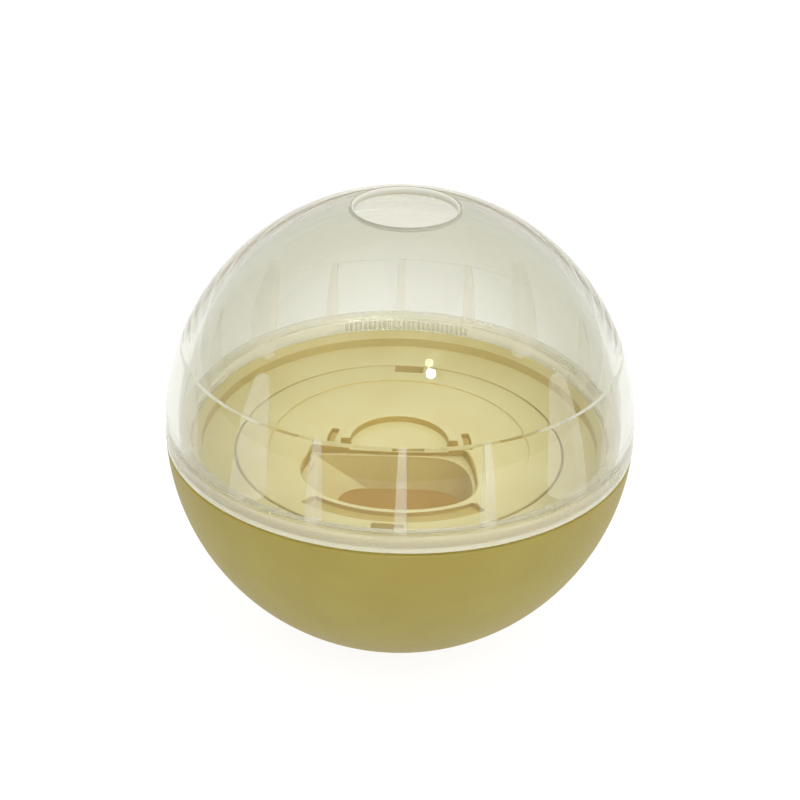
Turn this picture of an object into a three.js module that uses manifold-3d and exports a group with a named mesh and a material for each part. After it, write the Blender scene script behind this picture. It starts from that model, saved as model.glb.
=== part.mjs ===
// Treat ball: a clear dome with a fill hole over a yellow bowl, with a divider tray between them.
// A disc with a wide window turns in the tray to open or close the way between the two halves.
// Millimetres, +Z up, the ball stands on the small flat under the bowl.
import * as THREE from 'three';
import { mergeVertices } from 'three/addons/utils/BufferGeometryUtils.js';
import Module from 'manifold-3d';

const wasm = await Module();
wasm.setup();

// Heights below are measured from the centre of the ball, which stands CENTRE_HEIGHT over the floor.
const BALL_RADIUS = 38;
const CENTRE_HEIGHT = 37;
const AROUND = 64;

// Bowl
const BOWL_RIM_Z = -2.5;
const BOWL_INNER_RADIUS = 35.2;
const BOWL_SEAT_RADIUS = 35.5;
const BOWL_SEAT_Z = -6.8;

// Dome: the wall is thinnest at the fill hole and steps back below STEP_Z, where the fins stand
const DOME_FOOT_Z = -2.1;
const DOME_INNER = { radius: 35.57, height: 36.86 };
const LOWER_INNER_RADIUS = 35.95;
const STEP_Z = 13.1;
const STEP_FOOT_Z = 12.75;
const HOLE_RADIUS = 8;
const HOLE_LIP = 0.6;
const FLANGE_TOP_Z = 0.5;
const SPIGOT_INNER_RADIUS = 34.2;
const SPIGOT_OUTER_RADIUS = 35.2;
const SPIGOT_Z = -5;
const FIN_TURNS = [-20.4, 0.8, 22];
const FIN_FOOT_Z = -0.9;
const FIN_INNER_RADIUS = 33.5;
const FIN_BOTTOM_WIDTH = 1.9;
const FIN_TOP_WIDTH = 1.2;
const PLATE_TURN = 48.5;
const PLATE_TOP_Z = 18.5;
const PLATE_RADIUS = { bottom: 30.9, top: 29.3 };
const PLATE_WIDTH = { bottom: 2.3, top: 1.6 };

// Divider tray
const COLLAR_TOP_Z = -1.4;
const COLLAR_SLOPE_Z = -2.4;
const COLLAR_INNER_RADIUS = 32.4;
const COLLAR_TOP_RADIUS = 33.5;
const COLLAR_OUTER_RADIUS = 33.9;
const TRAY_FLANGE_RADIUS = 35.2;
const TRAY_FLANGE_TOP_Z = -5.3;
const TRAY_FLANGE_BOTTOM_Z = -6.5;
const LEDGE_OUTER_Z = -4;
const LEDGE_INNER_Z = -5;
const POCKET_RADIUS = 27.1;
const POCKET_WALL_RADIUS = 28.6;
const POCKET_Z = -7.1;
const TRAY_BOTTOM_Z = -8.6;
const CHUTE_MOUTH = {
  start: [-13.5, 0],
  bends: [
    [-13.8, -3.1, -14.5, -5.6],
    [-15.4, -10.6, -10.9, -15.2],
    [-6.8, -18.3, -1.7, -18.7],
    [3.4, -19.1, 8, -16.9],
    [12, -14.6, 11.9, -9.6],
    [11.9, 0, 4.5, 0],
  ],
};
const CHUTE_OUTLET = {
  start: [-5.2, -1.1],
  bends: [
    [-9.4, -1.1, -10.2, -6.2],
    [-10.9, -11.2, -8.6, -14.2],
    [-5.8, -17.6, -1.5, -17.9],
    [3.2, -18.2, 7.4, -16.2],
    [11.4, -14.2, 11.4, -9.6],
    [11.4, -1.1, 4.5, -1.1],
  ],
};
const CHUTE_MIDDLE = [-1.2, -9.5];
const CHUTE_NARROWS_Z = -7.6;
const CHUTE_BOTTOM_Z = -12.8;
const SKIRT_SHARE = 1.1;

// Adjuster disc
const DISC_RADIUS = 26.8;
const DISC_BOTTOM_Z = -6.8;
const DISC_RIM_Z = -4.9;
const DISC_TOP_Z = -5.2;
const DISC_RIM_INNER_RADIUS = 21.4;
const SCOOP_RADIUS = 8.2;
const SCOOP_Z = -5.9;
const SCOOP_RIM_RADIUS = 9.7;
const SCOOP_RIM_Z = -4.7;
const WINDOW = {
  start: [-14.2, 0.2],
  bends: [
    [-14.6, -3, -15.3, -5.5],
    [-16.6, -11, -11.58, -15.94],
    [-7.16, -19.15, -1.72, -19.62],
    [3.73, -20.1, 8.64, -17.71],
    [12.9, -15.2, 12.4, -9.8],
    [12.2, -3.5, 10.6, 0.2],
  ],
};
const NOTCH = { width: 5, depth: 2.4, turns: [-3.2, 176.8] };
const GROOVE = { inner: 20.8, outer: 23.9, from: -38, to: 34, bottomZ: -5.9 };
const GRIP_SLOT = { inner: 10.8, outer: 12, length: 3.6, bottomZ: -6, turns: [-103, 100] };

const radians = THREE.MathUtils.degToRad;

// A bearing of 0 faces the viewer along -Y and grows towards +X.
const bearing = (degrees) => radians(degrees - 90);

function solid(geometry) {
  geometry.deleteAttribute('normal');
  geometry.deleteAttribute('uv');
  const merged = mergeVertices(geometry, 1e-4);
  const corners = [];
  const index = merged.index.array;
  for (let i = 0; i < index.length; i += 3) {
    const [a, b, c] = index.slice(i, i + 3);
    if (a !== b && b !== c && c !== a) {
      corners.push(a, b, c);
    }
  }
  const vertProperties = new Float32Array(merged.attributes.position.array);
  const triVerts = new Uint32Array(corners);
  return new wasm.Manifold(new wasm.Mesh({ numProp: 3, vertProperties, triVerts }));
}

function piece(name, body, look) {
  const { vertProperties, triVerts } = body.getMesh();
  const geometry = new THREE.BufferGeometry();
  geometry.setAttribute('position', new THREE.BufferAttribute(vertProperties, 3));
  geometry.setIndex(new THREE.BufferAttribute(triVerts, 1));
  geometry.translate(0, 0, CENTRE_HEIGHT);
  geometry.computeVertexNormals();
  const mesh = new THREE.Mesh(geometry, new THREE.MeshStandardMaterial(look));
  mesh.name = name;
  return mesh;
}

// Points of a circle of the ball between two radii, listed from the first to the second.
function arc(sphere, fromRadius, toRadius, steps, side) {
  const from = Math.asin(fromRadius / sphere);
  const to = Math.asin(toRadius / sphere);
  const points = [];
  for (let i = 0; i <= steps; i += 1) {
    const angle = from + ((to - from) * i) / steps;
    points.push([sphere * Math.sin(angle), side * sphere * Math.cos(angle)]);
  }
  return points;
}

function turned(profile, around = AROUND) {
  const points = profile.map(([radius, height]) => new THREE.Vector2(radius, height));
  const geometry = new THREE.LatheGeometry(points, around);
  geometry.rotateX(Math.PI / 2);
  return solid(geometry);
}

function block(width, depth, bottom, top) {
  const geometry = new THREE.BoxGeometry(width, depth, top - bottom);
  geometry.translate(0, 0, (top + bottom) / 2);
  return geometry;
}

// A slab whose side view is given by corners of radius and height, lying along the X axis.
function upright(corners, width) {
  const shape = new THREE.Shape(corners.map(([radius, height]) => new THREE.Vector2(radius, height)));
  const geometry = new THREE.ExtrudeGeometry(shape, { depth: width, bevelEnabled: false });
  geometry.translate(0, 0, -width / 2);
  geometry.rotateX(Math.PI / 2);
  return geometry;
}

// A curved slot with square ends, open at the top.
function curvedSlot({ inner, outer, from, to, bottomZ }, top) {
  const shape = new THREE.Shape();
  shape.absarc(0, 0, outer, bearing(from), bearing(to), false);
  shape.absarc(0, 0, inner, bearing(to), bearing(from), true);
  const depth = top - bottomZ;
  const geometry = new THREE.ExtrudeGeometry(shape, { depth, bevelEnabled: false, curveSegments: 16 });
  geometry.translate(0, 0, bottomZ);
  return solid(geometry);
}

// A column over an outline of bends, each drawn towards one point and ending at another.
// Its last side, from the last bend back to the start, is straight.
function column({ start, bends }, bottom, top) {
  const shape = new THREE.Shape();
  shape.moveTo(...start);
  for (const bend of bends) {
    shape.quadraticCurveTo(...bend);
  }
  const depth = top - bottom;
  const geometry = new THREE.ExtrudeGeometry(shape, { depth, bevelEnabled: false, curveSegments: 6 });
  geometry.translate(0, 0, bottom);
  return solid(geometry);
}

// The chute narrows from its mouth under the disc to its outlet, more at its left end, where it makes a ramp.
// The share makes it wider about its middle, for the outside of its skirt.
function funnel(share, bottom, top) {
  const mouth = column(CHUTE_MOUTH, CHUTE_NARROWS_Z, top);
  const outlet = column(CHUTE_OUTLET, bottom, CHUTE_BOTTOM_Z + 0.2);
  const [x, y] = CHUTE_MIDDLE;
  return wasm.Manifold.hull([mouth, outlet]).translate(-x, -y, 0).scale([share, share, 1]).translate(x, y, 0);
}

function bowl() {
  const foot = Math.sqrt(BALL_RADIUS ** 2 - CENTRE_HEIGHT ** 2);
  const rim = Math.sqrt(BALL_RADIUS ** 2 - BOWL_RIM_Z ** 2);
  const seat = Math.sqrt(BOWL_INNER_RADIUS ** 2 - BOWL_SEAT_Z ** 2);
  return turned([
    [0, -CENTRE_HEIGHT],
    ...arc(BALL_RADIUS, foot, rim, 11, -1),
    [BOWL_SEAT_RADIUS, BOWL_RIM_Z],
    [BOWL_SEAT_RADIUS, BOWL_SEAT_Z],
    ...arc(BOWL_INNER_RADIUS, seat, 0, 10, -1),
  ]);
}

// Inner radius of the dome's wall below and above the step.
const lowerWall = (height) => Math.sqrt(LOWER_INNER_RADIUS ** 2 - height ** 2);
const upperWall = (height) => DOME_INNER.radius * Math.sqrt(1 - (height / DOME_INNER.height) ** 2);

// One fin stands on the flange against the lower wall and gets slimmer towards the step.
function fin(turn) {
  const geometry = new THREE.BoxGeometry(1, 1, 1);
  const position = geometry.attributes.position;
  for (let i = 0; i < position.count; i += 1) {
    const isTop = position.getZ(i) > 0;
    const wall = lowerWall(isTop ? STEP_Z : 0) + 0.6;
    const radius = position.getX(i) > 0 ? wall : FIN_INNER_RADIUS;
    const across = position.getY(i) * (isTop ? FIN_TOP_WIDTH : FIN_BOTTOM_WIDTH);
    position.setXYZ(i, radius, across, isTop ? STEP_Z + 0.4 : FIN_FOOT_Z);
  }
  geometry.rotateZ(bearing(turn));
  return solid(geometry);
}

// A plate is deeper than a fin and reaches up past the step.
function plate(turn) {
  const corners = [
    [PLATE_RADIUS.bottom, FIN_FOOT_Z],
    ...[FIN_FOOT_Z, 5, 9, STEP_Z].map((height) => [lowerWall(height) + 0.5, height]),
    ...[15.5, PLATE_TOP_Z].map((height) => [upperWall(height) + 0.6, height]),
    [PLATE_RADIUS.top, PLATE_TOP_Z],
  ];
  const geometry = upright(corners, 1);
  const position = geometry.attributes.position;
  for (let i = 0; i < position.count; i += 1) {
    const share = (position.getZ(i) - FIN_FOOT_Z) / (PLATE_TOP_Z - FIN_FOOT_Z);
    const width = THREE.MathUtils.lerp(PLATE_WIDTH.bottom, PLATE_WIDTH.top, share);
    position.setY(i, position.getY(i) * width);
  }
  geometry.rotateZ(bearing(turn));
  return solid(geometry);
}

function dome() {
  const onLower = (height) => [lowerWall(height), height];
  const onUpper = (radius) => [radius, DOME_INNER.height * Math.sqrt(1 - (radius / DOME_INNER.radius) ** 2)];
  const foot = [Math.sqrt(BALL_RADIUS ** 2 - DOME_FOOT_Z ** 2), DOME_FOOT_Z];
  const lip = HOLE_RADIUS + HOLE_LIP;
  const lipTop = Math.sqrt(BALL_RADIUS ** 2 - lip ** 2);
  const lipBottom = onUpper(lip)[1];
  const stepRadius = upperWall(STEP_Z);
  const upper = [];
  for (let i = 0; i <= 10; i += 1) {
    const sweep = Math.sin((i / 10) * (Math.PI / 2));
    upper.push(onUpper(lip + (stepRadius - lip) * sweep));
  }
  let body = turned([
    foot,
    ...arc(BALL_RADIUS, BALL_RADIUS, lip, 13, 1),
    [HOLE_RADIUS + HOLE_LIP * 0.3, lipTop - HOLE_LIP * 0.1],
    [HOLE_RADIUS, lipTop - HOLE_LIP * 0.5],
    [HOLE_RADIUS, lipBottom + HOLE_LIP * 0.5],
    ...upper,
    ...[STEP_FOOT_Z, 8, 4.5, FLANGE_TOP_Z].map(onLower),
    [SPIGOT_INNER_RADIUS, FLANGE_TOP_Z],
    [SPIGOT_INNER_RADIUS, SPIGOT_Z],
    [SPIGOT_OUTER_RADIUS, SPIGOT_Z],
    [SPIGOT_OUTER_RADIUS, DOME_FOOT_Z],
    foot,
  ]);
  for (const quarter of [0, 90, 180, 270]) {
    for (const turn of FIN_TURNS) {
      body = body.add(fin(quarter + turn));
    }
    body = body.add(plate(quarter + PLATE_TURN));
  }
  return body;
}

function tray() {
  const dish = turned([
    [0, TRAY_BOTTOM_Z],
    [POCKET_WALL_RADIUS, TRAY_BOTTOM_Z],
    [POCKET_WALL_RADIUS, TRAY_FLANGE_BOTTOM_Z],
    [TRAY_FLANGE_RADIUS, TRAY_FLANGE_BOTTOM_Z],
    [TRAY_FLANGE_RADIUS, TRAY_FLANGE_TOP_Z],
    [COLLAR_OUTER_RADIUS, TRAY_FLANGE_TOP_Z],
    [COLLAR_OUTER_RADIUS, COLLAR_TOP_Z],
    [COLLAR_TOP_RADIUS, COLLAR_TOP_Z],
    [COLLAR_INNER_RADIUS, COLLAR_SLOPE_Z],
    [COLLAR_INNER_RADIUS, LEDGE_OUTER_Z],
    [POCKET_RADIUS, LEDGE_INNER_Z],
    [POCKET_RADIUS, POCKET_Z],
    [0, POCKET_Z],
  ]);
  const skirt = funnel(SKIRT_SHARE, CHUTE_BOTTOM_Z, POCKET_Z - 0.2);
  const opening = funnel(1, CHUTE_BOTTOM_Z - 1, POCKET_Z + 1);
  return dish.add(skirt).subtract(opening);
}

function disc() {
  const blank = turned([
    [0, DISC_BOTTOM_Z],
    [DISC_RADIUS, DISC_BOTTOM_Z],
    [DISC_RADIUS, DISC_RIM_Z],
    [DISC_RIM_INNER_RADIUS, DISC_RIM_Z],
    [DISC_RIM_INNER_RADIUS, DISC_TOP_Z],
    [SCOOP_RIM_RADIUS, DISC_TOP_Z],
    [SCOOP_RIM_RADIUS, SCOOP_RIM_Z],
    [SCOOP_RADIUS, SCOOP_RIM_Z],
    [SCOOP_RADIUS, SCOOP_Z],
    [0, SCOOP_Z],
  ]);
  const bottom = DISC_BOTTOM_Z - 1;
  const top = DISC_RIM_Z + 1;
  let body = blank.subtract(column(WINDOW, bottom, top)).subtract(curvedSlot(GROOVE, top));
  for (const turn of NOTCH.turns) {
    const notch = block(NOTCH.depth + 2, NOTCH.width, bottom, top);
    notch.translate(DISC_RADIUS - NOTCH.depth / 2 + 1, 0, 0);
    notch.rotateZ(bearing(turn));
    body = body.subtract(solid(notch));
  }
  for (const turn of GRIP_SLOT.turns) {
    const slot = block(GRIP_SLOT.outer - GRIP_SLOT.inner, GRIP_SLOT.length, GRIP_SLOT.bottomZ, top);
    slot.translate((GRIP_SLOT.outer + GRIP_SLOT.inner) / 2, 0, 0);
    slot.rotateZ(bearing(turn));
    body = body.subtract(solid(slot));
  }
  return body;
}

const CLEAR = { color: '#dcdccf', roughness: 0.15, metalness: 0, transparent: true, opacity: 0.35 };
const YELLOW = { color: '#c8b66c', roughness: 0.45, metalness: 0 };
const PALE_YELLOW = { color: '#d9cf98', roughness: 0.5, metalness: 0 };

const ball = new THREE.Group();
ball.name = 'treat_ball';
ball.add(piece('base_bowl', bowl(), YELLOW));
ball.add(piece('divider_tray', tray(), PALE_YELLOW));
ball.add(piece('adjuster_disc', disc(), PALE_YELLOW));
ball.add(piece('clear_dome', dome(), CLEAR));

export default ball;
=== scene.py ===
# %% [markdown]
# # A treat ball in four mouldings
# The ball is a clear dome with a fill hole, a mustard bowl, and between them a pale tray that holds
# a turning disc. The CAD frame already has every piece at its real size and on its own body, so
# this lesson never moves or resizes anything. It makes a finer skin for each moulding and a finish
# for each plastic. Loading the frame first gives the bodies that the new pieces ride on.

# %% Load the frame
import math

import bmesh
import bpy
from mathutils import Matrix, Vector


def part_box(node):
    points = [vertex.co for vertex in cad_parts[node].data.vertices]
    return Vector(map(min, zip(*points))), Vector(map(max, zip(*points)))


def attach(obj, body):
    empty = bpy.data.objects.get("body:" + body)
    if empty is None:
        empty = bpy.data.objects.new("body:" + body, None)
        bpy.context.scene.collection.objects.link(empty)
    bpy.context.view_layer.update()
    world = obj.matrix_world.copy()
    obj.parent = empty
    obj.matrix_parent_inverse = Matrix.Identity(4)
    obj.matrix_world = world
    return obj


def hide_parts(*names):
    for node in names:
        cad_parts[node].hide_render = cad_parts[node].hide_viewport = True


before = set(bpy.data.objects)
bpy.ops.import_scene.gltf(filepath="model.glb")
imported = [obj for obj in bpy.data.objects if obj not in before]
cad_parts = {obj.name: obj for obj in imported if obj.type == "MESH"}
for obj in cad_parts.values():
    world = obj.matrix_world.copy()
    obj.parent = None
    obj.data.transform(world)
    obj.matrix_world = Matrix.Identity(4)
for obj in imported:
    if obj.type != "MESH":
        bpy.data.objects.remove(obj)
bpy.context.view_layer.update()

MM = 0.001
CENTRE_HEIGHT = 37.0
dome_low, dome_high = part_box("clear_dome")
BALL_RADIUS = (dome_high.x - dome_low.x) / 2 / MM
ball_centre = Vector((0, 0, CENTRE_HEIGHT * MM))

# %% [markdown]
# ## The camera
# The photograph looks down on the ball from about 28 degrees, with the ball a little below the
# middle of a square picture. A long lens keeps the outline round. The camera comes first, so that
# every later choice can be judged in the picture that it is made for. A slight roll of the camera
# stands for the slight lean of the seam in the photograph.

# %% Camera
CAMERA_ELEVATION = math.radians(28.3)
CAMERA_DISTANCE = 0.304
CAMERA_ROLL = math.radians(1.6)
IMAGE_SIDE = 800
BALL_BELOW_MIDDLE = 18.4
LENS_LENGTH, SENSOR_WIDTH = 83.8, 36.0
NEAREST_SEEN = 0.01

lens = bpy.data.cameras.new("photo_camera")
lens.lens = LENS_LENGTH
lens.sensor_width = SENSOR_WIDTH
lens.shift_y = BALL_BELOW_MIDDLE / IMAGE_SIDE
lens.clip_start = NEAREST_SEEN
camera = bpy.data.objects.new("photo_camera", lens)
bpy.context.scene.collection.objects.link(camera)
to_camera = Vector((0, -math.cos(CAMERA_ELEVATION), math.sin(CAMERA_ELEVATION)))
camera.location = ball_centre + CAMERA_DISTANCE * to_camera
aim = (-to_camera).to_track_quat("-Z", "Y").to_matrix()
camera.rotation_euler = (aim @ Matrix.Rotation(CAMERA_ROLL, 3, "Z")).to_euler()
bpy.context.scene.camera = camera
print("camera at", [round(x, 4) for x in camera.location])

# %% [markdown]
# ## One function for nodes, one for colours
# Materials and Geometry Nodes trees are both made of nodes. One small function adds a node, sets
# its properties, and sets or links its sockets, so that each tree below reads like a list. Sockets
# go by name where the name is their own. A Math node calls all its sockets Value, so they go by
# number, and so do those of a Mix node, where 2 and 3 are the numbers and 6 and 7 the colours.
# Colours are written as sRGB hex values, as a colour picker gives them, and turned to linear light
# once.

# %% Node and colour helpers
def node(tree, kind, sockets=None, **settings):
    made = tree.nodes.new(kind)
    for key, value in settings.items():
        setattr(made, key, value)
    for key, value in (sockets or {}).items():
        if isinstance(value, bpy.types.NodeSocket):
            tree.links.new(value, made.inputs[key])
        else:
            made.inputs[key].default_value = value
    return made


def linear(hex_colour):
    shares = [int(hex_colour[i:i + 2], 16) / 255 for i in (1, 3, 5)]
    return (*[s / 12.92 if s <= 0.04045 else ((s + 0.055) / 1.055) ** 2.4 for s in shares], 1.0)


def blank_material(name):
    material = bpy.data.materials.new(name)
    material.use_nodes = True
    material.node_tree.nodes.clear()
    return material, material.node_tree


print("white in linear light", linear("#ffffff"))

# %% [markdown]
# ## Satin moulded polypropylene
# The bowl and the insert are coloured polypropylene straight from the mould. Such a face is smooth
# to the hand but not a mirror: it has a soft wide gloss, a faint grain from the eroded steel, and
# cloudy flow marks a centimetre or so across where the melt cooled. The grain is drawn a little
# coarser than life so that it shows. The plastic also lets light through, warmed on the way, and
# its upright walls get less light than its level faces, so they look deeper in colour. Subsurface
# scattering would do this slowly. Painted shade, a tint by the slope of the face, and shadow rays
# that pass with the colour of the plastic, do it at once.

# %% Satin polypropylene
FLOW_MARK = 11.0
GRAIN, GRAIN_DEPTH, GRAIN_STRENGTH = 0.45, 0.02, 0.12
GLOSS_SWING = 0.05
NOISE_LOW, NOISE_HIGH = 0.3, 0.7
STEEP, LEVEL = 0.3, 0.95
POLYPROPYLENE_IOR = 1.49


def passing_light(tree, plastic, colour):
    """Shadow rays go straight through a plastic with a colour; all other rays meet its surface."""
    straight = node(tree, "ShaderNodeBsdfTransparent", {"Color": linear(colour)})
    is_shadow = node(tree, "ShaderNodeLightPath").outputs["Is Shadow Ray"]
    surface = node(
        tree, "ShaderNodeMixShader", {0: is_shadow, 1: plastic.outputs[0], 2: straight.outputs[0]}
    )
    node(tree, "ShaderNodeOutputMaterial", {"Surface": surface.outputs[0]})


def satin_polypropylene(name, pale, deep, upright, roughness, passing):
    material, tree = blank_material(name)
    face = node(tree, "ShaderNodeTexCoord").outputs
    place = face["Object"]
    noise = {"From Min": NOISE_LOW, "From Max": NOISE_HIGH}
    flow = node(tree, "ShaderNodeTexNoise", {"Vector": place, "Scale": 1 / (FLOW_MARK * MM), "Detail": 3.0})
    grain = node(tree, "ShaderNodeTexNoise", {"Vector": place, "Scale": 1 / (GRAIN * MM), "Detail": 2.0})
    share = node(
        tree, "ShaderNodeMapRange", {"Value": flow.outputs[0], **noise, "To Min": 0.0, "To Max": 1.0}
    )
    cloudy = node(
        tree, "ShaderNodeMix", {0: share.outputs[0], 6: linear(pale), 7: linear(deep)}, data_type="RGBA"
    )
    # Painted shade: faces that stand upright are multiplied by the upright tint; level faces keep their
    # colour.
    slope = node(tree, "ShaderNodeSeparateXYZ", {0: face["Normal"]}).outputs["Z"]
    level = node(tree, "ShaderNodeMath", {0: slope}, operation="ABSOLUTE")
    painted_wall_shade = node(
        tree,
        "ShaderNodeMapRange",
        {"Value": level.outputs[0], "From Min": STEEP, "From Max": LEVEL, "To Min": 1.0, "To Max": 0.0},
    )
    colour = node(
        tree,
        "ShaderNodeMix",
        {0: painted_wall_shade.outputs[0], 6: cloudy.outputs[2], 7: linear(upright)},
        data_type="RGBA",
        blend_type="MULTIPLY",
    )
    swing = {"To Min": roughness - GLOSS_SWING, "To Max": roughness + GLOSS_SWING}
    gloss = node(tree, "ShaderNodeMapRange", {"Value": grain.outputs[0], **noise, **swing})
    relief = node(
        tree,
        "ShaderNodeBump",
        {"Strength": GRAIN_STRENGTH, "Distance": GRAIN_DEPTH * MM, "Height": grain.outputs[0]},
    )
    plastic = node(
        tree,
        "ShaderNodeBsdfPrincipled",
        {
            "Base Color": colour.outputs[2],
            "Roughness": gloss.outputs[0],
            "IOR": POLYPROPYLENE_IOR,
            "Normal": relief.outputs[0],
        },
    )
    passing_light(tree, plastic, passing)
    return material


print("flow marks of", FLOW_MARK, "mm, grain of", GRAIN, "mm")

# %% [markdown]
# ## Four satins
# The outside of the bowl is mustard, and the insert a pale yellow. Two more satins are painted
# light and painted shade: the inside of the bowl is painted a paler gold for the light that comes
# through its wall, and cut edges and small walls of the disc are painted a deeper yellow for the
# shade in them and the light inside the plastic. Each line gives the two tints of the flow marks,
# the painted shade of upright walls, the roughness and the colour of light that passes.

# %% Satin finishes
WARM_LIGHT = "#fbf4e0"

mustard_satin = satin_polypropylene(
    "mustard_satin_polypropylene", "#ac9e4b", "#a69643", "#f7f6f2", 0.5, WARM_LIGHT
)
# Painted light: a paler copy of the mustard for the inside of the bowl, as if lit through its wall.
painted_light_satin = satin_polypropylene(
    "painted_light_inner_satin_polypropylene", "#f4e696", "#f0e18e", "#ffffff", 0.5, WARM_LIGHT
)
pale_satin = satin_polypropylene(
    "pale_yellow_satin_polypropylene", "#e3d9a2", "#ddd193", "#e8dec2", 0.42, WARM_LIGHT
)
# Painted shade: a deeper copy of the pale satin for cut edges and small walls of the disc.
painted_shade_satin = satin_polypropylene(
    "painted_shade_yellow_satin_polypropylene", "#ccb868", "#c6b15c", "#eee4c8", 0.42, WARM_LIGHT
)
print("materials", mustard_satin.name, painted_light_satin.name, pale_satin.name, painted_shade_satin.name)

# %% [markdown]
# ## Clear polystyrene, polished, hazy, milky and matt
# The dome is general-purpose polystyrene: clear with a faint grey cast, polished on the dome
# itself, hazy on the flange, and matt on the lip of the fill hole and on the ribs, where the steel
# of the mould was left rough. On the polished wall a Principled shader with full transmission bends
# light as the real wall does, so the lens effects come from the shape. It is a little darker where
# the wall is seen aslant, because light has further to go through it there. The fins are thin and
# milky, and a low alpha shows that better than bent light does. Cycles cannot send lamp light
# through bent glass, and the inside would turn dark, so a shadow ray passes straight through the
# wall instead.

# %% Clear polystyrene
HAZE_CLOUD = 9.0
CLOUD_LOW, CLOUD_HIGH = 0.35, 0.75
RUBBED_SMOOTH, RUBBED_ROUGH = 0.7, 1.3
ASLANT_FROM, ASLANT_TO = 0.05, 0.4
POLYSTYRENE_IOR = 1.5
PASSING_LIGHT = "#fafaf6"


def clear_polystyrene(name, colour, roughness, clear, alpha, aslant=None):
    material, tree = blank_material(name)
    place = node(tree, "ShaderNodeTexCoord").outputs["Object"]
    cloud = node(tree, "ShaderNodeTexNoise", {"Vector": place, "Scale": 1 / (HAZE_CLOUD * MM), "Detail": 4.0})
    swing = {"To Min": roughness * RUBBED_SMOOTH, "To Max": roughness * RUBBED_ROUGH}
    rubbed = node(
        tree,
        "ShaderNodeMapRange",
        {"Value": cloud.outputs[0], "From Min": CLOUD_LOW, "From Max": CLOUD_HIGH, **swing},
    )
    tint = linear(colour)
    if aslant:
        facing = node(tree, "ShaderNodeLayerWeight", {"Blend": 0.5}).outputs["Facing"]
        longer = node(
            tree,
            "ShaderNodeMapRange",
            {"Value": facing, "From Min": ASLANT_FROM, "From Max": ASLANT_TO, "To Min": 0.0, "To Max": 1.0},
        )
        tint = node(
            tree, "ShaderNodeMix", {0: longer.outputs[0], 6: tint, 7: linear(aslant)}, data_type="RGBA"
        ).outputs[2]
    plastic = node(
        tree,
        "ShaderNodeBsdfPrincipled",
        {
            "Base Color": tint,
            "Roughness": rubbed.outputs[0],
            "IOR": POLYSTYRENE_IOR,
            "Transmission Weight": clear,
            "Alpha": alpha,
        },
    )
    passing_light(tree, plastic, PASSING_LIGHT)
    return material


polished_clear = clear_polystyrene("polished_clear_polystyrene", "#f5f5ef", 0.012, 1.0, 1.0, "#dcdcd0")
hazy_clear = clear_polystyrene("hazy_clear_polystyrene", "#f0edd9", 0.25, 0.7, 1.0)
milky_clear = clear_polystyrene("milky_clear_polystyrene", "#f4f1ec", 0.4, 0.0, 0.21)
matt_clear = clear_polystyrene("matt_clear_polystyrene", "#e0dfd2", 0.45, 0.0, 1.0)
print("materials", polished_clear.name, hazy_clear.name, milky_clear.name, matt_clear.name)

# %% [markdown]
# ## A lathe in Geometry Nodes
# Every moulding here is round, so its shape follows one rule: a flat outline turned about the
# middle axis. Blender has a Screw modifier and a Spin operator for that. A Geometry Nodes tree is
# used instead, because it shows the rule itself: a grid whose columns are turned copies of the
# outline. Its inputs are the number of columns and the finish. Doubles are merged at the end, which
# closes the seam and the poles.

# %% Lathe tree
MERGE_WITHIN = 0.001


def new_tree(name, inputs):
    tree = bpy.data.node_groups.new(name, "GeometryNodeTree")
    tree.interface.new_socket("Geometry", in_out="INPUT", socket_type="NodeSocketGeometry")
    tree.interface.new_socket("Geometry", in_out="OUTPUT", socket_type="NodeSocketGeometry")
    for label, kind in inputs.items():
        tree.interface.new_socket(label, in_out="INPUT", socket_type=kind)
    return tree, tree.nodes.new("NodeGroupInput").outputs


def end_tree(tree, geometry, material):
    whole = node(tree, "GeometryNodeRealizeInstances", {"Geometry": geometry})
    painted = node(tree, "GeometryNodeSetMaterial", {"Geometry": whole.outputs[0], "Material": material})
    node(tree, "NodeGroupOutput", {"Geometry": painted.outputs[0]})


lathe, given = new_tree("lathe", {"Columns": "NodeSocketInt", "Finish": "NodeSocketMaterial"})
outline_size = node(lathe, "GeometryNodeAttributeDomainSize", {"Geometry": given["Geometry"]})
rows = outline_size.outputs["Point Count"]
columns = node(lathe, "ShaderNodeMath", {0: given["Columns"], 1: 1.0}, operation="ADD")
grid = node(lathe, "GeometryNodeMeshGrid", {"Vertices X": columns.outputs[0], "Vertices Y": rows})
index = node(lathe, "GeometryNodeInputIndex").outputs[0]
row = node(lathe, "ShaderNodeMath", {0: index, 1: rows}, operation="MODULO")
share = node(lathe, "ShaderNodeMath", {0: index, 1: rows}, operation="DIVIDE")
column = node(lathe, "ShaderNodeMath", {0: share.outputs[0]}, operation="FLOOR")
part_turn = node(lathe, "ShaderNodeMath", {0: column.outputs[0], 1: given["Columns"]}, operation="DIVIDE")
angle = node(lathe, "ShaderNodeMath", {0: part_turn.outputs[0], 1: math.tau}, operation="MULTIPLY")
outline_point = node(
    lathe,
    "GeometryNodeSampleIndex",
    {"Geometry": given["Geometry"], "Index": row.outputs[0]},
    data_type="FLOAT_VECTOR",
)
place = node(lathe, "GeometryNodeInputPosition").outputs[0]
lathe.links.new(place, outline_point.inputs["Value"])
turned_point = node(
    lathe,
    "ShaderNodeVectorRotate",
    {"Vector": outline_point.outputs[0], "Angle": angle.outputs[0]},
    rotation_type="Z_AXIS",
)
wall = node(
    lathe, "GeometryNodeSetPosition", {"Geometry": grid.outputs[0], "Position": turned_point.outputs[0]}
)
closed = node(
    lathe, "GeometryNodeMergeByDistance", {"Geometry": wall.outputs[0], "Distance": MERGE_WITHIN * MM}
)
end_tree(lathe, closed.outputs[0], given["Finish"])
print("tree", lathe.name, "with", len(lathe.nodes), "nodes")

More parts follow.
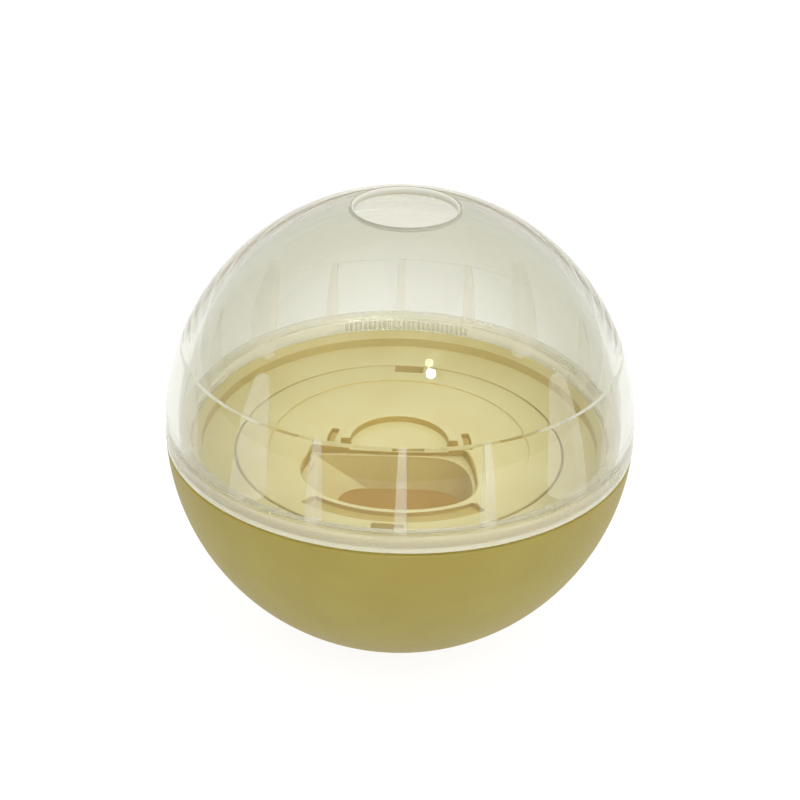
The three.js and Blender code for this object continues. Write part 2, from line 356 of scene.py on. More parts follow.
# %% [markdown]
# ## Rounded outlines
# The outlines are lists of corners in millimetres: the distance from the axis, the height over the
# middle of the ball, and the radius that the corner is rounded with. Moulded plastic has no sharp
# edges, and the small rounds are what catches the light. They could be made by a Bevel modifier on
# the finished mesh, but in the outline each corner can have a radius of its own.

# %% Rounded outlines
ROUND_STEPS = 4


def rounded(corners):
    points = [Vector(corner[:2]) for corner in corners]
    drawn = []
    for i, corner in enumerate(corners):
        here = points[i]
        radius = corner[2] if len(corner) > 2 else 0.0
        if radius == 0.0:
            drawn.append(here)
            continue
        before = (points[i - 1] - here).normalized()
        after = (points[(i + 1) % len(points)] - here).normalized()
        half = before.angle(after) / 2
        middle = here + (before + after).normalized() * radius / math.sin(half)
        start = here + before * radius / math.tan(half) - middle
        sweep = start.angle_signed(here + after * radius / math.tan(half) - middle)
        for step in range(ROUND_STEPS + 1):
            drawn.append(middle + Matrix.Rotation(-sweep * step / ROUND_STEPS, 2) @ start)
    return drawn


def sphere_arc(radius, start, end, steps):
    """Points on a sphere round the ball's middle, by angle over the seam in degrees."""
    angles = [math.radians(start + (end - start) * i / steps) for i in range(steps + 1)]
    return [(radius * math.cos(a), radius * math.sin(a)) for a in angles]


print("a rounded corner has", ROUND_STEPS + 1, "points")

# %% [markdown]
# ## From a tree to a plain mesh
# A piece starts as the few points of its outline, and a modifier with the lathe makes the rest. The
# modifier's inputs are set by their identifiers. The result is then kept as a plain mesh and the
# modifier goes, because a finished piece carries no tree.

# %% Plain meshes
def settled(obj):
    """The object's mesh with its modifiers taken up, and the modifiers gone."""
    shown = obj.evaluated_get(bpy.context.evaluated_depsgraph_get())
    mesh = bpy.data.meshes.new_from_object(shown)
    obj.modifiers.clear()
    old, obj.data = obj.data, mesh
    bpy.data.meshes.remove(old)
    mesh.name = obj.name
    return obj


def through(obj, tree, **inputs):
    modifier = obj.modifiers.new(tree.name, "NODES")
    modifier.node_group = tree
    sockets = {s.name: s.identifier for s in tree.interface.items_tree if s.in_out == "INPUT"}
    for label, value in inputs.items():
        modifier[sockets[label]] = value
    return settled(obj)


def new_object(name, vertices, edges=(), faces=()):
    mesh = bpy.data.meshes.new(name)
    mesh.from_pydata(vertices, edges, faces)
    obj = bpy.data.objects.new(name, mesh)
    bpy.context.scene.collection.objects.link(obj)
    return obj


def turned(name, outline, columns, finish):
    points = [(x * MM, 0.0, (CENTRE_HEIGHT + z) * MM) for x, z in outline]
    return through(new_object(name, points), lathe, Columns=columns, Finish=finish)


print("the lathe takes", [s.name for s in lathe.interface.items_tree if s.in_out == "INPUT"])

# %% [markdown]
# ## Finishing a piece
# Each piece ends in the same way. Its faces are turned outwards, gentle edges are shaded smooth, and
# large faces get more say in the normals, so that level faces look level.

# %% Finishing a piece
SMOOTH_BELOW = math.radians(32)


def further_finish(obj, finish):
    """Adds a finish to the object's mesh and returns the number of its slot."""
    obj.data.materials.append(finish)
    return len(obj.data.materials) - 1


def faces_out(obj):
    """Turns all faces round if the closed mesh is inside out, and returns its volume in millilitres."""
    shape = bmesh.new()
    shape.from_mesh(obj.data)
    if shape.calc_volume(signed=True) < 0:
        bmesh.ops.reverse_faces(shape, faces=shape.faces[:])
        shape.to_mesh(obj.data)
    volume = shape.calc_volume(signed=True) / MM**3 / 1000
    shape.free()
    return volume


def finish_piece(obj, body, slot, *nodes):
    volume = faces_out(obj)
    obj.data.shade_smooth()
    obj.data.set_sharp_from_angle(angle=SMOOTH_BELOW)
    weighted = obj.modifiers.new("weighted_normals", "WEIGHTED_NORMAL")
    weighted.keep_sharp = True
    settled(obj)
    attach(obj, body)
    if nodes:
        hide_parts(*nodes)
    print(obj.name, "rides on", body, "faces", len(obj.data.polygons), "volume", round(volume, 2), "ml")


print("edges of up to", round(math.degrees(SMOOTH_BELOW)), "degrees are smooth")

# %% [markdown]
# ## The bowl
# The lower half is one thick-walled bowl with a small flat to stand on and a stepped rim that the
# dome's spigot slides into. It is the plainest piece of the ball, so its outline does all the work:
# a foot with a soft edge, the outer sphere, a rounded rim, the seat of the tray and the inside. The
# faces of the inside are found by their distance from the ball's middle and get the paler gold of
# painted light.

# %% Bowl
BOWL_COLUMNS = 192
BOWL_RIM_Z = -2.5
BOWL_INNER_RADIUS = 35.2
BOWL_SEAT_RADIUS = 35.5
BOWL_SEAT_Z = -6.8
BOWL_OUTER_STEPS, BOWL_INNER_STEPS = 48, 40
PAINTED_LIGHT_WITHIN = BOWL_INNER_RADIUS + 0.4

foot_angle = -math.degrees(math.asin(CENTRE_HEIGHT / BALL_RADIUS))
rim_angle = math.degrees(math.asin(BOWL_RIM_Z / BALL_RADIUS))
seat_angle = math.degrees(math.asin(BOWL_SEAT_Z / BOWL_INNER_RADIUS))
outer = sphere_arc(BALL_RADIUS, foot_angle, rim_angle, BOWL_OUTER_STEPS)
inner = sphere_arc(BOWL_INNER_RADIUS, seat_angle, -90, BOWL_INNER_STEPS)
bowl_outline = rounded(
    [(0, -CENTRE_HEIGHT)]
    + outer[:-1]
    + [(*outer[-1], 0.25), (BOWL_SEAT_RADIUS, BOWL_RIM_Z, 0.25), (BOWL_SEAT_RADIUS, BOWL_SEAT_Z)]
    + inner
)
bowl = turned("mustard_bowl", bowl_outline, BOWL_COLUMNS, mustard_satin)
# Painted light: the faces inside the bowl take the paler satin.
painted_light_slot = further_finish(bowl, painted_light_satin)
for face in bowl.data.polygons:
    if (face.center - ball_centre).length < PAINTED_LIGHT_WITHIN * MM:
        face.material_index = painted_light_slot
finish_piece(bowl, "base", "bowl", "base_bowl")

# %% [markdown]
# ## Outlines of bends
# The openings of the tray and the disc have no simple shape. Their outlines are a start and a row
# of bends, each drawn towards one point and ending at another. They are listed anticlockwise, seen
# from above, so that growing an outline always moves it outwards.

# %% Outlines of bends
BEND_STEPS = 8


def arc_points(radius, start, end, steps):
    """Points on a circle round the axis by bearing, where 0 faces the viewer and 90 is on the right."""
    bearings = [math.radians(start + (end - start) * i / steps - 90) for i in range(steps + 1)]
    return [Vector((radius * math.cos(b), radius * math.sin(b))) for b in bearings]


def bent(start, *bends):
    """Points of an outline whose last side runs straight back to the start."""
    here = Vector(start)
    points = [here]
    for pull_x, pull_y, x, y in bends:
        pull, end = Vector((pull_x, pull_y)), Vector((x, y))
        shares = [(i + 1) / BEND_STEPS for i in range(BEND_STEPS)]
        points += [(1 - s) ** 2 * here + 2 * s * (1 - s) * pull + s**2 * end for s in shares]
        here = end
    return points


def grown(outline, by):
    """The outline moved outwards by a distance."""
    moved = []
    for i, point in enumerate(outline):
        along = (outline[(i + 1) % len(outline)] - outline[i - 1]).normalized()
        moved.append(point + by * Vector((along.y, -along.x)))
    return moved


print("a bend is drawn with", BEND_STEPS, "steps")

# %% [markdown]
# ## Cutters with soft lips
# The openings have rounded lips. A Bevel modifier on a cut edge often fails where the cut makes
# slivers, so the cutter itself carries the lip: it is a stack of copies of the opening's outline,
# and near the top face each copy is a little larger than the one below it. The Boolean modifier
# then leaves the round in the plate, and the cut faces take the cutter's finish.

# %% Cutters
LIP_STEPS = 5
PAST_FACE = 1.0


def stack(layers, finish):
    """A closed solid through outlines of as many points each, given with their heights."""
    count = len(layers[0][0])
    vertices = [(p.x * MM, p.y * MM, (CENTRE_HEIGHT + z) * MM) for outline, z in layers for p in outline]
    faces = [tuple(reversed(range(count))), tuple(range(len(vertices) - count, len(vertices)))]
    for layer in range(len(layers) - 1):
        for i in range(count):
            low, following = layer * count, (i + 1) % count
            faces.append((low + i, low + following, low + count + following, low + count + i))
    obj = new_object("stack", vertices, faces=faces)
    obj.data.materials.append(finish)
    return obj


def lipped(outline, bottom, top, lip):
    """Layers of a straight opening between two heights, with a lip of that radius at the top."""
    layers = [(outline, bottom)]
    for step in range(LIP_STEPS + 1):
        swing = math.pi / 2 * step / LIP_STEPS
        layers.append((grown(outline, lip * (1 - math.cos(swing))), top - lip * (1 - math.sin(swing))))
    layers.append((layers[-1][0], top + PAST_FACE))
    return layers


def combine(obj, other, operation):
    boolean = obj.modifiers.new(operation.lower(), "BOOLEAN")
    boolean.operation = operation
    boolean.solver = "EXACT"
    boolean.material_mode = "TRANSFER"
    boolean.object = other
    settled(obj)
    bpy.data.objects.remove(other)


def cut(obj, layers, finish):
    combine(obj, stack(layers, finish), "DIFFERENCE")


print("a lip is drawn with", LIP_STEPS, "steps")

# %% [markdown]
# ## The divider tray
# The tray closes the bowl. Its collar stands inside the seam and slopes inwards, then a ledge leads
# down to the round pocket that the disc turns in. The dish is turned like the bowl.

# %% Tray dish
TRAY_COLUMNS = 192
COLLAR_TOP_Z = -1.4
SLOPE_FOOT_Z = -2.4
COLLAR_INNER_RADIUS = 32.4
COLLAR_TOP_RADIUS = 33.5
COLLAR_OUTER_RADIUS = 33.9
TRAY_FLANGE_RADIUS = 35.2
TRAY_FLANGE_TOP_Z, TRAY_FLANGE_FOOT_Z = -5.3, -6.5
LEDGE_OUTER_Z, LEDGE_INNER_Z = -4.0, -5.0
POCKET_RADIUS = 27.1
POCKET_Z = -7.1
DISH_RADIUS = 28.6
TRAY_BOTTOM_Z = -8.6

tray_outline = rounded([
    (0, TRAY_BOTTOM_Z),
    (DISH_RADIUS, TRAY_BOTTOM_Z, 0.4),
    (DISH_RADIUS, TRAY_FLANGE_FOOT_Z, 0.3),
    (TRAY_FLANGE_RADIUS, TRAY_FLANGE_FOOT_Z, 0.2),
    (TRAY_FLANGE_RADIUS, TRAY_FLANGE_TOP_Z, 0.2),
    (COLLAR_OUTER_RADIUS, TRAY_FLANGE_TOP_Z),
    (COLLAR_OUTER_RADIUS, COLLAR_TOP_Z, 0.15),
    (COLLAR_TOP_RADIUS, COLLAR_TOP_Z, 0.15),
    (COLLAR_INNER_RADIUS, SLOPE_FOOT_Z, 0.15),
    (COLLAR_INNER_RADIUS, LEDGE_OUTER_Z, 0.12),
    (POCKET_RADIUS, LEDGE_INNER_Z, 0.25),
    (POCKET_RADIUS, POCKET_Z, 0.2),
    (0, POCKET_Z),
])
tray = turned("pale_tray", tray_outline, TRAY_COLUMNS, pale_satin)
print("tray dish has", len(tray.data.polygons), "faces")

# %% [markdown]
# ## The chute
# Treats fall into the bowl through a chute that narrows from its mouth under the disc to a smaller
# outlet. Its left end narrows most, and makes a ramp on which no crumb stays. A thin skirt goes
# round it below the dish. Skirt and chute are stacks that lead from the one outline to the other:
# the skirt is joined to the dish, and the chute is cut through both.

# %% Chute
CHUTE_MIDDLE = Vector((-1.2, -9.5))
CHUTE_NARROWS_Z = -7.6
CHUTE_BOTTOM_Z = -12.8
CHUTE_LIP = 0.15
SKIRT_SHARE = 1.1
SKIRT_TOP_Z = POCKET_Z - 0.2

chute_mouth = bent(
    (-13.5, 0.0),
    (-13.8, -3.1, -14.5, -5.6),
    (-15.4, -10.6, -10.9, -15.2),
    (-6.8, -18.3, -1.7, -18.7),
    (3.4, -19.1, 8.0, -16.9),
    (12.0, -14.6, 11.9, -9.6),
    (11.9, 0.0, 4.5, 0.0),
)
chute_outlet = bent(
    (-5.2, -1.1),
    (-9.4, -1.1, -10.2, -6.2),
    (-10.9, -11.2, -8.6, -14.2),
    (-5.8, -17.6, -1.5, -17.9),
    (3.2, -18.2, 7.4, -16.2),
    (11.4, -14.2, 11.4, -9.6),
    (11.4, -1.1, 4.5, -1.1),
)


def around_chute(outline):
    """The outline made wider about the chute's middle, for the outside of the skirt."""
    return [CHUTE_MIDDLE + SKIRT_SHARE * (point - CHUTE_MIDDLE) for point in outline]


skirt_layers = [(around_chute(chute_outlet), CHUTE_BOTTOM_Z), (around_chute(chute_mouth), SKIRT_TOP_Z)]
combine(tray, stack(skirt_layers, pale_satin), "UNION")
outlet_layers = [(chute_outlet, CHUTE_BOTTOM_Z - PAST_FACE), (chute_outlet, CHUTE_BOTTOM_Z)]
mouth_layers = lipped(chute_mouth, CHUTE_NARROWS_Z, POCKET_Z, CHUTE_LIP)
cut(tray, outlet_layers + mouth_layers, pale_satin)
finish_piece(tray, "base", "divider", "divider_tray")

# %% [markdown]
# ## The adjuster disc
# The disc lies in the pocket of the tray and has a slightly raised rim. The half-round thumb scoop
# in its middle, with a raised rim of its own, is turned as a full round here, and the window takes
# its front half away afterwards.

# %% Disc
DISC_COLUMNS = 192
DISC_RADIUS = 26.8
DISC_BOTTOM_Z = -6.8
DISC_RIM_Z = -4.9
DISC_RIM_INNER_RADIUS = 21.4
DISC_TOP_Z = -5.2
SCOOP_Z = -5.9
SCOOP_RIM_Z = -4.7
SCOOP_RADIUS, SCOOP_RIM_RADIUS = 8.2, 9.7

disc_outline = rounded([
    (0, DISC_BOTTOM_Z),
    (DISC_RADIUS, DISC_BOTTOM_Z, 0.2),
    (DISC_RADIUS, DISC_RIM_Z, 0.3),
    (DISC_RIM_INNER_RADIUS, DISC_RIM_Z, 0.1),
    (DISC_RIM_INNER_RADIUS, DISC_TOP_Z, 0.1),
    (SCOOP_RIM_RADIUS, DISC_TOP_Z, 0.1),
    (SCOOP_RIM_RADIUS, SCOOP_RIM_Z, 0.15),
    (SCOOP_RADIUS, SCOOP_RIM_Z, 0.15),
    (SCOOP_RADIUS, SCOOP_Z, 0.15),
    (0, SCOOP_Z),
])
disc = turned("pale_disc", disc_outline, DISC_COLUMNS, pale_satin)
print("disc has", len(disc.data.polygons), "faces")

# %% [markdown]
# ## Openings of the disc
# A wide window lets treats through, a groove runs in front of it, and there are two notches in the
# edge and two small slots beside the scoop. All are cut with soft lips. Window, groove and slots
# get painted shade, a deeper yellow for the shade in them and the light inside the plastic, and so
# do the walls of the scoop, which are found by their slope.

# %% Disc openings
GROOVE_INNER, GROOVE_OUTER, GROOVE_FROM, GROOVE_TO = 20.8, 23.9, -38, 34
GROOVE_Z = -5.9
GROOVE_STEPS = 40
NOTCH_WIDTH, NOTCH_DEPTH = 5.0, 2.4
NOTCH_BEARINGS = (-3.2, 176.8)
GRIP_SLOT_INNER, GRIP_SLOT_OUTER, GRIP_SLOT_LENGTH = 10.8, 12.0, 3.6
GRIP_SLOT_Z = -6.0
GRIP_SLOT_BEARINGS = (-103, 100)
BLOCK_ROUND = 0.3
WINDOW_LIP, GROOVE_LIP, NOTCH_LIP, GRIP_SLOT_LIP = 0.3, 0.2, 0.2, 0.15
WALL_BELOW = 0.5
SCOOP_REACH = SCOOP_RIM_RADIUS + 0.2


def block_outline(inner, outer, width, bearing):
    """A rectangle that points away from the axis at a bearing, listed anticlockwise."""
    along = arc_points(1.0, bearing, bearing, 1)[0]
    across = Vector((-along.y, along.x)) * width / 2
    corners = [inner * along - across, outer * along - across, outer * along + across, inner * along + across]
    return rounded([(*corner, BLOCK_ROUND) for corner in corners])


window = bent(
    (-14.2, 0.2),
    (-14.6, -3.0, -15.3, -5.5),
    (-16.6, -11.0, -11.58, -15.94),
    (-7.16, -19.15, -1.72, -19.62),
    (3.73, -20.1, 8.64, -17.71),
    (12.9, -15.2, 12.4, -9.8),
    (12.2, -3.5, 10.6, 0.2),
)
below = DISC_BOTTOM_Z - PAST_FACE
# Painted shade: the cut faces of the window, the groove and the slots take the deeper satin.
cut(disc, lipped(window, below, DISC_TOP_Z, WINDOW_LIP), painted_shade_satin)
groove = arc_points(GROOVE_OUTER, GROOVE_FROM, GROOVE_TO, GROOVE_STEPS)
groove += arc_points(GROOVE_INNER, GROOVE_TO, GROOVE_FROM, GROOVE_STEPS)
cut(disc, lipped(groove, GROOVE_Z, DISC_RIM_Z, GROOVE_LIP), painted_shade_satin)
for bearing in NOTCH_BEARINGS:
    notch = block_outline(DISC_RADIUS - NOTCH_DEPTH, DISC_RADIUS + PAST_FACE, NOTCH_WIDTH, bearing)
    cut(disc, lipped(notch, below, DISC_RIM_Z, NOTCH_LIP), pale_satin)
for bearing in GRIP_SLOT_BEARINGS:
    grip_slot = block_outline(GRIP_SLOT_INNER, GRIP_SLOT_OUTER, GRIP_SLOT_LENGTH, bearing)
    cut(disc, lipped(grip_slot, GRIP_SLOT_Z, DISC_TOP_Z, GRIP_SLOT_LIP), painted_shade_satin)
# Painted shade: the steep walls of the scoop take the deeper satin too.
deep = disc.data.materials.find(painted_shade_satin.name)
for face in disc.data.polygons:
    if abs(face.normal.z) < WALL_BELOW and face.center.xy.length < SCOOP_REACH * MM:
        face.material_index = deep
finish_piece(disc, "disc", "divider", "adjuster_disc")

# %% [markdown]
# ## The clear dome
# The dome is a lens as much as a lid. The inside of its wall follows a slightly smaller egg shape
# than the outside, down to a slight step, and below it a sphere, where the fins stand. Light bends
# at every face, so the outline has far more points than the bowl's, and the turned mesh has more
# columns: on clear plastic, even small flats show as ripples.

# %% Dome wall
DOME_COLUMNS = 256
DOME_FOOT_Z = -2.1
DOME_INNER_RADIUS = 35.57
DOME_INNER_HEIGHT = 36.86
LOWER_INNER_RADIUS = 35.95
STEP_Z, STEP_FOOT_Z = 13.1, 12.75
HOLE_RADIUS = 8.0
FLANGE_TOP_Z = 0.5
SPIGOT_INNER_RADIUS, SPIGOT_OUTER_RADIUS, SPIGOT_Z = 34.2, 35.2, -5.0
OUTSIDE_STEPS, INSIDE_STEPS, LOWER_STEPS = 72, 56, 20


def inner_point(turn):
    return (DOME_INNER_RADIUS * math.cos(turn), DOME_INNER_HEIGHT * math.sin(turn))


hole_angle = math.degrees(math.acos(HOLE_RADIUS / BALL_RADIUS))
dome_foot_angle = math.degrees(math.asin(DOME_FOOT_Z / BALL_RADIUS))
outside = sphere_arc(BALL_RADIUS, dome_foot_angle, hole_angle, OUTSIDE_STEPS)
hole_turn = math.acos(HOLE_RADIUS / DOME_INNER_RADIUS)
step_turn = math.asin(STEP_Z / DOME_INNER_HEIGHT)
turns = [hole_turn + (step_turn - hole_turn) * i / INSIDE_STEPS for i in range(INSIDE_STEPS + 1)]
inside = [inner_point(turn) for turn in turns]
step_angle = math.degrees(math.asin(STEP_FOOT_Z / LOWER_INNER_RADIUS))
flange_angle = math.degrees(math.asin(FLANGE_TOP_Z / LOWER_INNER_RADIUS))
lower = sphere_arc(LOWER_INNER_RADIUS, step_angle, flange_angle, LOWER_STEPS)
dome_outline = rounded(
    [(*outside[0], 0.3)]
    + outside[1:-1]
    + [(*outside[-1], 0.5), (*inside[0], 0.35)]
    + inside[1:-1]
    + [(*inside[-1], 0.25), (*lower[0], 0.25)]
    + lower[1:-1]
    + [(*lower[-1], 0.4), (SPIGOT_INNER_RADIUS, FLANGE_TOP_Z, 0.4)]
    + [(SPIGOT_INNER_RADIUS, SPIGOT_Z, 0.3), (SPIGOT_OUTER_RADIUS, SPIGOT_Z, 0.3)]
    + [(SPIGOT_OUTER_RADIUS, DOME_FOOT_Z, 0.15)]
)
dome = turned("clear_dome_skin", dome_outline + dome_outline[:1], DOME_COLUMNS, polished_clear)
print("dome wall has", len(dome.data.polygons), "faces")

# %% [markdown]
# ## Finishes of the dome
# The polished steel ends at the lip of the fill hole, which is matt, and at the flange on which the
# dome stands, which is hazy. The faces are told apart by where they lie, because all of them belong
# to one moulding.

# %% Dome finishes
HAZY_TOP_Z = FLANGE_TOP_Z + 0.1
MATT_LIP = 0.45

hazy = further_finish(dome, hazy_clear)
matt = further_finish(dome, matt_clear)
for face in dome.data.polygons:
    if face.center.z / MM - CENTRE_HEIGHT < HAZY_TOP_Z:
        face.material_index = hazy
    elif face.center.xy.length / MM < HOLE_RADIUS + MATT_LIP:
        face.material_index = matt
finish_piece(dome, "dome", "dome", "clear_dome")

# %% [markdown]
# ## A ring of copies
# Three details repeat round the dome: the fins and the plates inside it and the fine ribs on its
# flange. Each is one small solid copied round the axis, singly or in groups that stand closer
# together. An Array modifier with an empty could turn the copies, but a Geometry Nodes tree keeps
# the count, the group and the turns as named inputs and needs no helper object.

# %% Ring tree
ring, given = new_tree(
    "ring_of_copies",
    {
        "Count": "NodeSocketInt",
        "Group": "NodeSocketInt",
        "Spread": "NodeSocketFloat",
        "First turn": "NodeSocketFloat",
        "Finish": "NodeSocketMaterial",
    },
)
spots = node(ring, "GeometryNodePoints", {"Count": given["Count"]})
number = node(ring, "GeometryNodeInputIndex").outputs[0]
part = node(ring, "ShaderNodeMath", {0: number, 1: given["Group"]}, operation="DIVIDE")
group = node(ring, "ShaderNodeMath", {0: part.outputs[0]}, operation="FLOOR")
member = node(ring, "ShaderNodeMath", {0: number, 1: given["Group"]}, operation="MODULO")
half = node(ring, "ShaderNodeMath", {0: given["Group"], 1: -0.5, 2: 0.5}, operation="MULTIPLY_ADD")
aside = node(ring, "ShaderNodeMath", {0: member.outputs[0], 1: half.outputs[0]}, operation="ADD")
share = node(ring, "ShaderNodeMath", {0: given["Group"], 1: given["Count"]}, operation="DIVIDE")
group_turn = node(ring, "ShaderNodeMath", {0: share.outputs[0], 1: math.tau}, operation="MULTIPLY")
group_angle = node(
    ring,
    "ShaderNodeMath",
    {0: group.outputs[0], 1: group_turn.outputs[0], 2: given["First turn"]},
    operation="MULTIPLY_ADD",
)
angle = node(
    ring,
    "ShaderNodeMath",
    {0: aside.outputs[0], 1: given["Spread"], 2: group_angle.outputs[0]},
    operation="MULTIPLY_ADD",
)
facing = node(ring, "FunctionNodeAxisAngleToRotation", {"Axis": (0, 0, 1), "Angle": angle.outputs[0]})
copies = node(
    ring,
    "GeometryNodeInstanceOnPoints",
    {"Points": spots.outputs[0], "Instance": given["Geometry"], "Rotation": facing.outputs[0]},
)
end_tree(ring, copies.outputs[0], given["Finish"])
print("tree", ring.name, "with", len(ring.nodes), "nodes")

# %% [markdown]
# ## An upright slab
# Fins, plates and ribs are slabs that stand on end and face the axis. A slab is drawn from the side,
# by the radius and the height of its corners, starting at the inner foot. Its width may change from
# foot to top, and its inner edges are rounded.

# %% Upright slabs
EDGE_SEGMENTS = 3


def upright(name, corners, widths, edge_round, finish):
    """A slab facing the viewer, from corners of radius and height, with its two widths below and above."""
    low, high = corners[0][1], corners[-1][1]
    count = len(corners)
    points = []
    for side in (-0.5, 0.5):
        for radius, height in corners:
            width = widths[0] + (widths[1] - widths[0]) * (height - low) / (high - low)
            points.append(Vector((side * width, -radius, CENTRE_HEIGHT + height)) * MM)
    faces = [(i, i + count, (i + 1) % count + count, (i + 1) % count) for i in range(count)]
    faces += [tuple(range(count)), tuple(range(2 * count - 1, count - 1, -1))]
    obj = new_object(name, points, faces=faces)
    obj.data.materials.append(finish)
    shape = bmesh.new()
    shape.from_mesh(obj.data)
    inner = {0, count - 1, count, 2 * count - 1}
    edges = [e for e in shape.edges if {v.index for v in e.verts} <= inner]
    soft = {"offset": edge_round * MM, "segments": EDGE_SEGMENTS, "profile": 0.5, "affect": "EDGES"}
    bmesh.ops.bevel(shape, geom=edges, **soft)
    shape.to_mesh(obj.data)
    shape.free()
    return obj


def all_round(obj, count, group, spread, first, finish):
    turns = {"Spread": math.radians(spread), "First turn": math.radians(first)}
    return through(obj, ring, Count=count, Group=group, Finish=finish, **turns)


print("inner edges have", EDGE_SEGMENTS, "segments")

# %% [markdown]
# ## Fins
# Twelve slim fins stand on the flange inside the dome in groups of three. In the picture they are
# the pale posts behind the front wall. They could be joined to the wall by a union. They stay a
# piece of their own that ends just short of the wall, because their milky finish lets light pass
# without bending it, and the wall bends it.

# %% Fins
FIN_COUNT, FIN_GROUP = 12, 3
FIN_TURN, FIN_SPREAD = 0.8, 21.2
FIN_FOOT_Z = -0.75
FIN_INNER_RADIUS = 33.5
FIN_WIDTHS = (1.9, 1.2)
FIN_ROUND = 0.3
SHORT_OF_WALL = 0.04
TOP_RISE = 0.01


def lower_wall(height):
    return math.sqrt(LOWER_INNER_RADIUS**2 - height**2) - SHORT_OF_WALL


def upper_wall(height):
    return DOME_INNER_RADIUS * math.sqrt(1 - (height / DOME_INNER_HEIGHT) ** 2) - SHORT_OF_WALL


on_flange = FLANGE_TOP_Z + SHORT_OF_WALL
by_flange = SPIGOT_INNER_RADIUS - SHORT_OF_WALL
wall_heights = (on_flange, 3, 6, 9, STEP_FOOT_Z - 0.3)
outer_edge = [(by_flange, FIN_FOOT_Z), (by_flange, on_flange)]
outer_edge += [(lower_wall(z), z) for z in wall_heights]
fin_corners = [(FIN_INNER_RADIUS, FIN_FOOT_Z)] + outer_edge
fin_corners += [(upper_wall(STEP_Z), STEP_Z), (FIN_INNER_RADIUS, STEP_Z + TOP_RISE)]
fins = upright("dome_fins", fin_corners, FIN_WIDTHS, FIN_ROUND, milky_clear)
all_round(fins, FIN_COUNT, FIN_GROUP, FIN_SPREAD, FIN_TURN, milky_clear)
finish_piece(fins, "dome", "dome")

# %% [markdown]
# ## Plates
# Between the groups of fins stand four plates that reach further in and up past the step. They
# share the outer edge of the fins up to the step and follow the inside of the dome above it.

# %% Plates
PLATE_COUNT = 4
PLATE_TURN = 48.5
PLATE_TOP_Z = 18.5
PLATE_BOTTOM_RADIUS, PLATE_TOP_RADIUS = 30.9, 29.3
PLATE_WIDTHS = (2.3, 1.6)

upper_heights = (STEP_Z + 0.3, 15.8, PLATE_TOP_Z)
plate_corners = [(PLATE_BOTTOM_RADIUS, FIN_FOOT_Z)] + outer_edge
plate_corners += [(upper_wall(z), z) for z in upper_heights]
plate_corners += [(PLATE_TOP_RADIUS, PLATE_TOP_Z + TOP_RISE)]
plates = upright("dome_plates", plate_corners, PLATE_WIDTHS, FIN_ROUND, milky_clear)
all_round(plates, PLATE_COUNT, 1, 0.0, PLATE_TURN, milky_clear)
finish_piece(plates, "dome", "dome")

# %% [markdown]
# ## Ribs of the flange
# At the back, the inner face of the flange carries a row of fine upright ribs, which break up the
# highlight there. They are made and copied like the fins, as one group, and their roots sit a
# little inside the wall.

# %% Flange ribs
RIB_COUNT = 26
RIB_SPREAD = 1.5
RIB_TURN = 178.8
RIB_WIDTH = 0.5
RIB_HEIGHT, RIB_ROOT = 0.16, 0.1
RIB_ROUND = 0.1
RIB_TOP_Z, RIB_FOOT_Z = 0.25, -1.25
RIB_TOP_DROP = 0.1

rib_face, rib_back = SPIGOT_INNER_RADIUS - RIB_HEIGHT, SPIGOT_INNER_RADIUS + RIB_ROOT
rib_corners = [
    (rib_face, RIB_FOOT_Z),
    (rib_back, RIB_FOOT_Z),
    (rib_back, RIB_TOP_Z),
    (rib_face, RIB_TOP_Z - RIB_TOP_DROP),
]
ribs = upright("flange_ribs", rib_corners, (RIB_WIDTH, RIB_WIDTH), RIB_ROUND, matt_clear)
all_round(ribs, RIB_COUNT, RIB_COUNT, RIB_SPREAD, RIB_TURN, matt_clear)
finish_piece(ribs, "dome", "dome")

# %% [markdown]
# ## The floor
# The ground of the photograph is plain white. The floor shows white to the camera, in reflections
# and through the clear dome, and still takes a faint shadow, because part of its light comes from
# the tent and the lamp. To all other rays it is plain pale paper.

# %% Floor
FLOOR_SIDE = 4.0
FLOOR_DROP = 0.2
FLOOR_GLOW = 0.88

half = FLOOR_SIDE / 2
floor = new_object(
    "floor",
    [(x, y, -FLOOR_DROP * MM) for x, y in ((-half, -half), (half, -half), (half, half), (-half, half))],
    faces=[(0, 1, 2, 3)],
)
paper, tree = blank_material("white_paper_sweep")
path = node(tree, "ShaderNodeLightPath").outputs
seen = node(tree, "ShaderNodeMath", {0: path["Is Camera Ray"], 1: path["Is Glossy Ray"]}, operation="MAXIMUM")
seen = node(tree, "ShaderNodeMath", {0: seen.outputs[0], 1: path["Is Transmission Ray"]}, operation="MAXIMUM")
plain = node(tree, "ShaderNodeBsdfDiffuse", {"Color": linear("#eeeeec")})
shade = node(tree, "ShaderNodeBsdfDiffuse", {"Color": linear("#7c7c7a")})
glow = node(tree, "ShaderNodeEmission", {"Color": linear("#ffffff"), "Strength": FLOOR_GLOW})
shown = node(tree, "ShaderNodeAddShader", {0: shade.outputs[0], 1: glow.outputs[0]})
sweep = node(tree, "ShaderNodeMixShader", {0: seen.outputs[0], 1: plain.outputs[0], 2: shown.outputs[0]})
node(tree, "ShaderNodeOutputMaterial", {"Surface": sweep.outputs[0]})
floor.data.materials.append(paper)
print("floor of", FLOOR_SIDE, "m,", FLOOR_DROP, "mm below the ball")

# %% [markdown]
# ## The light tent
# The photograph was taken in soft white light from all round. The world is the light tent: brighter
# overhead than at the sides. The camera and rays through the dome see it as plain white, and
# reflections see it dimmer, more so towards the front, because a white tent would cover the clear
# wall with a veil.

# %% Light tent
TENT_SIDE, TENT_TOP = 0.5, 1.3
MIRRORED_FRONT, MIRRORED_BACK = 0.4, 0.65
MIRROR_FROM, MIRROR_TO = -0.3, 0.7

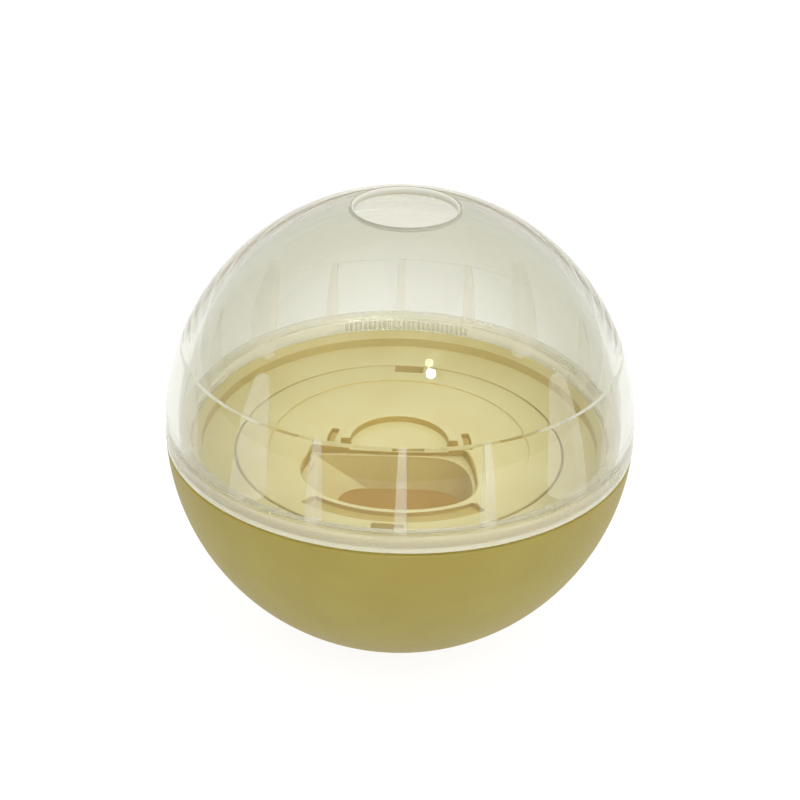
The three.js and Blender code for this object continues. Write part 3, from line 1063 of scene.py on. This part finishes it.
world = bpy.data.worlds.new("light_tent")
world.use_nodes = True
tree = world.node_tree
tree.nodes.clear()
direction = node(tree, "ShaderNodeTexCoord").outputs["Generated"]
place = node(tree, "ShaderNodeSeparateXYZ", {0: direction}).outputs
tent = node(
    tree,
    "ShaderNodeMapRange",
    {"Value": place["Z"], "From Min": 0.0, "From Max": 1.0, "To Min": TENT_SIDE, "To Max": TENT_TOP},
)
mirror_range = {"From Min": MIRROR_FROM, "From Max": MIRROR_TO}
mirror_light = {"To Min": MIRRORED_FRONT, "To Max": MIRRORED_BACK}
mirrored = node(tree, "ShaderNodeMapRange", {"Value": place["Y"], **mirror_range, **mirror_light})
path = node(tree, "ShaderNodeLightPath").outputs
seen = node(
    tree, "ShaderNodeMath", {0: path["Is Camera Ray"], 1: path["Is Transmission Ray"]}, operation="MAXIMUM"
)
unseen = node(
    tree,
    "ShaderNodeMix",
    {0: path["Is Glossy Ray"], 2: tent.outputs[0], 3: mirrored.outputs[0]},
    data_type="FLOAT",
)
strength = node(tree, "ShaderNodeMix", {0: seen.outputs[0], 2: unseen.outputs[0], 3: 1.0}, data_type="FLOAT")
light = node(tree, "ShaderNodeBackground", {"Color": linear("#ffffff"), "Strength": strength.outputs[0]})
node(tree, "ShaderNodeOutputWorld", {"Surface": light.outputs[0]})
bpy.context.scene.world = world
print("tent from", TENT_SIDE, "at the sides to", TENT_TOP, "overhead")

# %% [markdown]
# ## The lamp
# One small lamp near the camera gives the sharp spot on the dome. Its direction was found from the
# place of that spot. It is weak, so that it adds the spot and hardly any shade.

# %% Lamp
LAMP_TOWARDS = Vector((0.229, -0.632, 0.740))
LAMP_DISTANCE = 0.8
LAMP_SIZE = 0.06
LAMP_POWER = 1.2

lamp_data = bpy.data.lights.new("spot_lamp", "AREA")
lamp_data.shape = "DISK"
lamp_data.size = LAMP_SIZE
lamp_data.energy = LAMP_POWER
lamp = bpy.data.objects.new("spot_lamp", lamp_data)
bpy.context.scene.collection.objects.link(lamp)
lamp.location = ball_centre + LAMP_DISTANCE * LAMP_TOWARDS.normalized()
lamp.rotation_euler = (-LAMP_TOWARDS).to_track_quat("-Z", "Y").to_euler()
print("lamp at", [round(x, 3) for x in lamp.location])

# %% [markdown]
# The Standard view shows a colour about as it was written. The wall of the dome guides light along
# itself, which takes far more bounces than the usual count, or its rim turns black.

# %% Finish
WALL_BOUNCES, DIFFUSE_BOUNCES, CLEAR_LAYERS = 100, 8, 32

scene = bpy.context.scene
scene.view_settings.view_transform = "Standard"
scene.cycles.max_bounces = WALL_BOUNCES
scene.cycles.transmission_bounces = WALL_BOUNCES
scene.cycles.glossy_bounces = WALL_BOUNCES
scene.cycles.diffuse_bounces = DIFFUSE_BOUNCES
scene.cycles.transparent_max_bounces = CLEAR_LAYERS
